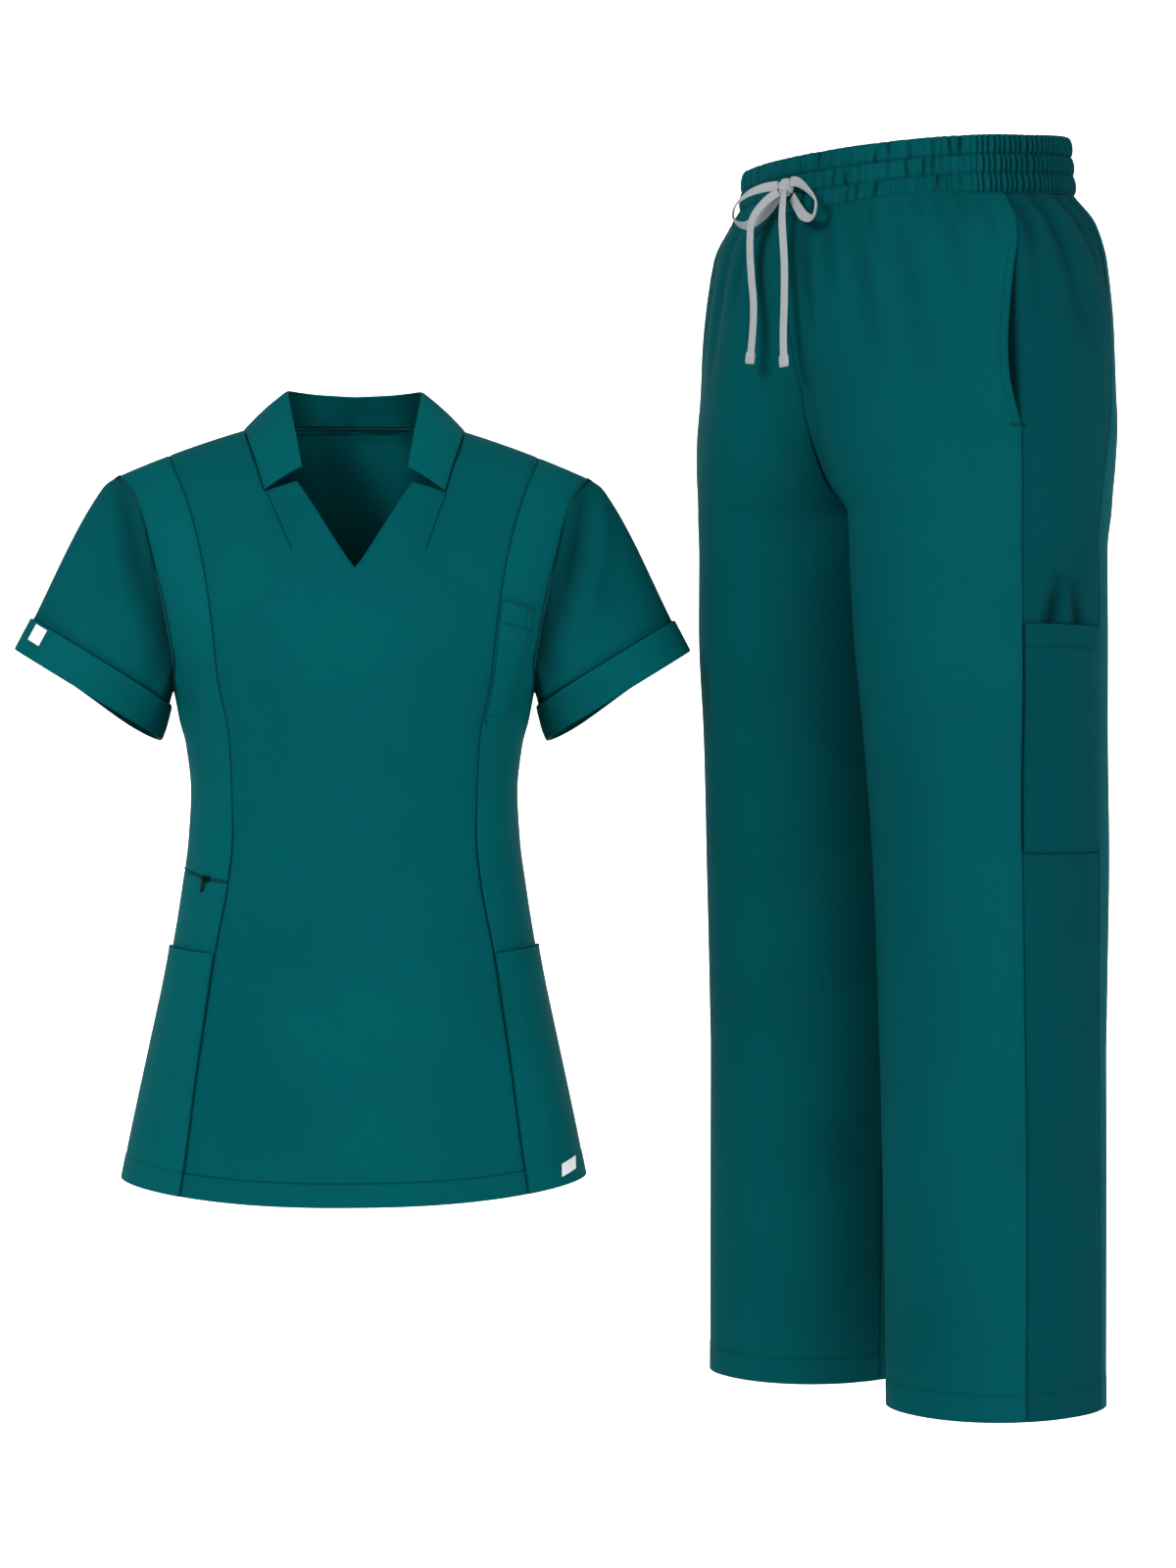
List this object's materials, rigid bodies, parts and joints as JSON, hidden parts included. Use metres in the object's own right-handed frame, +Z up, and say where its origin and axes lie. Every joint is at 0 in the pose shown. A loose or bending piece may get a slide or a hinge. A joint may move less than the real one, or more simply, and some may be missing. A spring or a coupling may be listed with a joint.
{
  "type": "scrub tunic and trousers set",
  "caption": "Medical scrubs set: short-sleeved V-neck tunic with collar, pockets and side zip, beside straight elastic-waist trousers with a drawstring bow, both filled out and hollow.",
  "frame": {"origin": "middle of the tunic at the height of its neck and shoulder points, where it is held", "axes": "+Z up, the garments' fronts face -Y, +X towards the tunic's left side, where the trousers are"},
  "size_m": [0.8887, 0.3516, 1.017],
  "materials": {
    "cloth_front": "fine plain-woven scrub cloth, matte with a faint sheen",
    "cloth_side": "the same cloth on the bias of the side panels, a little lighter",
    "cloth_dark": "the same cloth, a little darker where it turns away",
    "grey_tape": "flat woven tape, matte",
    "zip_tape": "narrow zip tape with its teeth and slider",
    "dark_metal": "dark painted metal, satin",
    "white_label": "smooth woven label, left bare"
  },
  "bodies": {
    "garments": {"front_centre": "cloth_front", "side_front_left": "cloth_side", "side_front_right_upper": "cloth_side", "side_front_right_lower": "cloth_side", "back_panel": "cloth_dark", "hip_pocket_left": "cloth_side", "hip_pocket_right": "cloth_side", "chest_pocket": "cloth_side", "collar": "cloth_side", "sleeve_left": "cloth_dark", "sleeve_right": "cloth_dark", "cuff_left": "cloth_side", "cuff_right": "cloth_side", "label_hem": "white_label", "label_cuff": "white_label", "zip": "zip_tape", "trouser_front_left": "cloth_front", "trouser_front_right": "cloth_front", "trouser_side_left": "cloth_dark", "trouser_side_right": "cloth_dark", "trouser_back_left": "cloth_front", "trouser_back_right": "cloth_front", "cargo_pocket": "cloth_dark", "waistband": "cloth_dark", "drawstring_knot": "grey_tape", "drawstring_loop_left": "grey_tape", "drawstring_loop_right": "grey_tape", "drawstring_tail_left": "grey_tape", "drawstring_tail_right": "grey_tape"},
    "pull_tab": {"zip_pull": "dark_metal"}
  },
  "joints": [
    {"name": "zip_pull_flip", "type": "hinge", "parent": "garments", "child": "pull_tab", "pos_m": [-0.11565, -0.07356, -0.36285], "axis": [-0.6811, 0.7229, 0.1161], "range_deg": [0, 150]}
  ]
}
